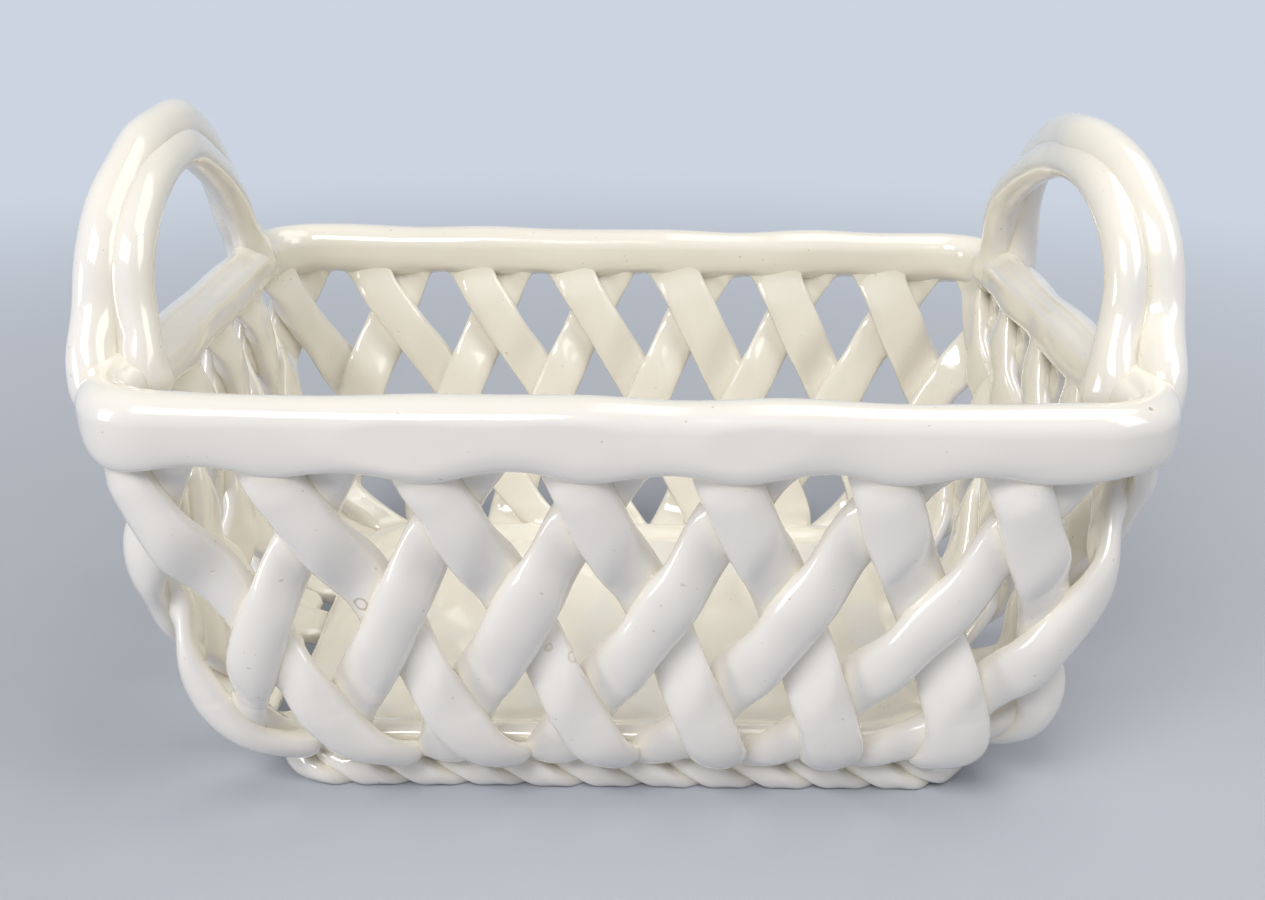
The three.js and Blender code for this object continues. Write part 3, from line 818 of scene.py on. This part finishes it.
def new_material(name):
    material = bpy.data.materials.new(name)
    material.use_nodes = True
    tree = material.node_tree
    return material, tree, tree.nodes["Principled BSDF"]


def noise_node(tree, place, scale, detail):
    noise = tree.nodes.new("ShaderNodeTexNoise")
    noise.inputs["Scale"].default_value = scale
    noise.inputs["Detail"].default_value = detail
    tree.links.new(place, noise.inputs["Vector"])
    return noise.outputs["Fac"]


def range_node(tree, value, start, end, low=0, high=1):
    """Runs from low to high while the value runs from start to end"""
    spread = tree.nodes.new("ShaderNodeMapRange")
    spread.interpolation_type = "SMOOTHSTEP"
    tree.links.new(value, spread.inputs["Value"])
    for name, number in (("From Min", start), ("From Max", end), ("To Min", low), ("To Max", high)):
        spread.inputs[name].default_value = number
    return spread.outputs["Result"]


def mix_node(tree, share, first, second):
    """One colour turning into another"""
    mix = tree.nodes.new("ShaderNodeMix")
    mix.data_type = "RGBA"
    tree.links.new(share, mix.inputs["Factor"])
    for name, colour in (("A", first), ("B", second)):
        if isinstance(colour, tuple):
            mix.inputs[name].default_value = colour
        else:
            tree.links.new(colour, mix.inputs[name])
    return mix.outputs["Result"]


def attribute_node(tree, name):
    attribute = tree.nodes.new("ShaderNodeAttribute")
    attribute.attribute_name = name
    return attribute.outputs["Fac"]


def distance_node(tree, place, point):
    away = tree.nodes.new("ShaderNodeVectorMath")
    away.operation = "DISTANCE"
    tree.links.new(place, away.inputs[0])
    away.inputs[1].default_value = point
    return away.outputs["Value"]


def glaze_marks(tree, place):
    """Where bubbles that burst in the kiln left a ring, or where the glaze is chipped"""
    noise = noise_node(tree, place, MARK_NOISE_SCALE, MARK_NOISE_DETAIL)
    uneven = math_node(tree, "MULTIPLY", noise, MARK_NOISE)
    marks = 0
    for point, radius, width, strength in GLAZE_MARKS:
        away = math_node(tree, "ADD", distance_node(tree, place, point), uneven)
        past_line = math_node(tree, "SUBTRACT", away, radius + MARK_NOISE / 2)
        off_line = math_node(tree, "ABSOLUTE", past_line, 0)
        mark = range_node(tree, off_line, width / 2, width, strength, 0)
        marks = math_node(tree, "MAXIMUM", mark, marks)
    return marks


def bump_node(tree, height, strength, distance, under=None):
    bump = tree.nodes.new("ShaderNodeBump")
    bump.inputs["Strength"].default_value = strength
    bump.inputs["Distance"].default_value = distance
    tree.links.new(height, bump.inputs["Height"])
    if under is not None:
        tree.links.new(under, bump.inputs["Normal"])
    return bump.outputs["Normal"]


def glaze_material():
    """Cream-white glaze: cooler outside where it is thin, warmer where it pools, with a painted warm
    light, cream, on inward- and upward-facing surfaces, and with pits, specks and a few burst bubbles"""
    material, tree, shader = new_material("glaze")
    texture = tree.nodes.new("ShaderNodeTexCoord")
    place = texture.outputs["Object"]
    cloud = noise_node(tree, place, CLOUD_SCALE, CLOUD_DETAIL)
    colour = mix_node(tree, cloud, THIN_COLOUR, THICK_COLOUR)
    # Painted warm light: cream on inward- and upward-facing surfaces, for light from above and light
    # bounced inside
    inside = attribute_node(tree, "inside")
    inside = range_node(tree, inside, PAINTED_WARM_LIGHT_FROM, PAINTED_WARM_LIGHT_FULL, 0, PAINTED_WARM_LIGHT_SHARE)
    colour = mix_node(tree, inside, colour, PAINTED_WARM_LIGHT_COLOUR)
    crease = attribute_node(tree, "crease")
    crease = range_node(tree, crease, POOL_FROM, POOL_FULL, 0, POOL_SHARE)
    colour = mix_node(tree, crease, colour, POOL_COLOUR)
    specks = noise_node(tree, place, SPECK_SCALE, SPECK_DETAIL)
    specks = range_node(tree, specks, SPECK_FROM, SPECK_FULL, 0, SPECK_SHARE)
    colour = mix_node(tree, specks, colour, SPECK_COLOUR)
    marks = glaze_marks(tree, place)
    colour = mix_node(tree, marks, colour, MARK_COLOUR)
    tree.links.new(colour, shader.inputs["Base Color"])
    rough = noise_node(tree, place, ROUGH_SCALE, ROUGH_DETAIL)
    rough = range_node(tree, rough, ROUGH_FROM, ROUGH_FULL, ROUGH_LOW, ROUGH_HIGH)
    tree.links.new(rough, shader.inputs["Roughness"])
    shader.inputs["IOR"].default_value = GLAZE_IOR
    shader.inputs["Coat Weight"].default_value = COAT_WEIGHT
    shader.inputs["Coat Roughness"].default_value = COAT_ROUGHNESS
    flow = noise_node(tree, place, FLOW_SCALE, FLOW_DETAIL)
    flow = bump_node(tree, flow, FLOW_STRENGTH, FLOW_HEIGHT)
    peel = noise_node(tree, place, PEEL_SCALE, PEEL_DETAIL)
    peel = bump_node(tree, peel, PEEL_STRENGTH, PEEL_HEIGHT, flow)
    dents = math_node(tree, "MAXIMUM", marks, specks)
    pits = bump_node(tree, math_node(tree, "SUBTRACT", 1, dents), PIT_STRENGTH, PIT_DEPTH, peel)
    tree.links.new(pits, shader.inputs["Normal"])
    return material


def build_basket(material):
    rim = Piece("rim_band", rim_rings(), True, RIM_RIPPLE, RIM_RIPPLE_LENGTH)
    floor = Piece("floor_slab", floor_rings(), False, FLOOR_RIPPLE, RIM_RIPPLE_LENGTH)
    strands = []
    for number, phase in ((1, -math.pi / 2), (2, math.pi / 2)):
        name = f"foot_rope_strand_{number}"
        strands.append(
            Piece(name, strand_rings(phase), True, STRAND_RIPPLE, STRAP_RIPPLE_LENGTH))
    rods = [Piece(rod["name"], rod_rings(rod), False, ROD_RIPPLE, ROD_RIPPLE_LENGTH)
            for rod in RODS]
    straps = {}
    for side, word in ((1, "left"), (-1, "right")):
        for number in range(STRAPS_EACH_WAY):
            name = f"strap_{word}_{number + 1:02d}"
            straps[side, number] = Piece(
                name, strap_rings(side, number), False, STRAP_RIPPLE, STRAP_RIPPLE_LENGTH)
    for (side, number), strap in straps.items():
        crossed = [straps[-side, (number + side * row) % STRAPS_EACH_WAY]
                   for row in MEETING_ROWS]
        strap.fuse([*crossed, rim, floor], STRAP_CREASE)
        strap.fuse(strands, ROPE_CREASE)
    rim.fuse(straps.values(), STRAP_CREASE)
    for i, rod in enumerate(rods):
        outer = i % 2 == 0
        partner = rods[i + 1 if outer else i - 1]
        foot_crease = OUTER_FOOT_CREASE if outer else INNER_FOOT_CREASE
        rim.fuse([rod], foot_crease)
        rod.fuse([rim], foot_crease)
        rod.fuse([partner], ROD_CREASE)
    strands[0].fuse([strands[1], floor, *straps.values()], ROPE_CREASE)
    strands[1].fuse([strands[0], floor, *straps.values()], ROPE_CREASE)
    floor.fuse([*strands, *straps.values()], STRAP_CREASE)
    for piece in [rim, floor, *strands, *rods, *straps.values()]:
        piece.finish(material)


def build_camera():
    sight = Vector((math.sin(CAMERA_YAW) * math.cos(CAMERA_PITCH),
                    math.cos(CAMERA_YAW) * math.cos(CAMERA_PITCH), -math.sin(CAMERA_PITCH)))
    level = Vector((math.cos(CAMERA_YAW), -math.sin(CAMERA_YAW), 0))
    upright = level.cross(sight)
    right = math.cos(CAMERA_ROLL) * level + math.sin(CAMERA_ROLL) * upright
    up = math.cos(CAMERA_ROLL) * upright - math.sin(CAMERA_ROLL) * level
    data = bpy.data.cameras.new("camera")
    data.lens = CAMERA_LENS
    data.sensor_width = CAMERA_SENSOR
    data.sensor_fit = "HORIZONTAL"
    camera = bpy.data.objects.new("camera", data)
    turn = Matrix((right, up, -sight)).transposed().to_4x4()
    camera.matrix_world = Matrix.Translation(CAMERA_PLACE) @ turn
    bpy.context.scene.collection.objects.link(camera)
    bpy.context.scene.camera = camera


def area_lamp(name, place, size, power, colour):
    data = bpy.data.lights.new(name, "AREA")
    data.shape = "RECTANGLE"
    data.size, data.size_y = size
    data.energy = power
    data.color = colour
    lamp = bpy.data.objects.new(name, data)
    lamp.location = place
    sight = Vector(LAMP_TARGET) - Vector(place)
    lamp.rotation_euler = sight.to_track_quat("-Z", "Y").to_euler()
    bpy.context.scene.collection.objects.link(lamp)


def math_node(tree, operation, first, second):
    node = tree.nodes.new("ShaderNodeMath")
    node.operation = operation
    for socket, value in zip(node.inputs, (first, second)):
        if isinstance(value, (int, float)):
            socket.default_value = value
        else:
            tree.links.new(value, socket)
    return node.outputs["Value"]


def seen_directly(tree):
    """1 for rays from the camera and for those that gloss or glass sends on"""
    path = tree.nodes.new("ShaderNodeLightPath")
    glossy = math_node(
        tree, "MAXIMUM", path.outputs["Is Camera Ray"], path.outputs["Is Glossy Ray"])
    return math_node(tree, "MAXIMUM", glossy, path.outputs["Is Transmission Ray"])


def blend_node(tree, share, first, second):
    """One shader turning into another"""
    blend = tree.nodes.new("ShaderNodeMixShader")
    tree.links.new(share, blend.inputs["Fac"])
    tree.links.new(first, blend.inputs[1])
    tree.links.new(second, blend.inputs[2])
    return blend.outputs["Shader"]


def build_floor():
    """A pale floor that far off takes on the even tone of the backdrop"""
    material, tree, shader = new_material("studio_floor")
    shader.inputs["Base Color"].default_value = GROUND_COLOUR
    shader.inputs["Roughness"].default_value = GROUND_ROUGHNESS
    place = tree.nodes.new("ShaderNodeTexCoord").outputs["Object"]
    away = distance_node(tree, place, (0, 0, 0))
    fade = range_node(tree, away, FADE_FROM, FADE_FULL)
    even = tree.nodes.new("ShaderNodeEmission")
    even.inputs["Color"].default_value = BACKDROP_COLOUR
    even_share = math_node(tree, "MULTIPLY", seen_directly(tree), fade)
    blend = blend_node(tree, even_share, shader.outputs["BSDF"], even.outputs["Emission"])
    tree.links.new(blend, tree.nodes["Material Output"].inputs["Surface"])
    bpy.ops.mesh.primitive_plane_add(size=GROUND_SIZE)
    ground = bpy.context.object
    ground.name = "studio_floor"
    ground.data.materials.append(material)


def build_world():
    """An even light all round, seen as the backdrop's tone"""
    world = bpy.data.worlds.new("studio")
    bpy.context.scene.world = world
    world.use_nodes = True
    tree = world.node_tree
    light = tree.nodes["Background"]
    light.inputs["Color"].default_value = WORLD_COLOUR
    light.inputs["Strength"].default_value = WORLD_STRENGTH
    shown = tree.nodes.new("ShaderNodeBackground")
    shown.inputs["Color"].default_value = BACKDROP_COLOUR
    blend = blend_node(
        tree, seen_directly(tree), light.outputs["Background"], shown.outputs["Background"])
    tree.links.new(blend, tree.nodes["World Output"].inputs["Surface"])


build_basket(glaze_material())
build_camera()
build_floor()
build_world()
for lamp in LAMPS:
    area_lamp(*lamp)
bpy.context.scene.view_settings.view_transform = "Standard"
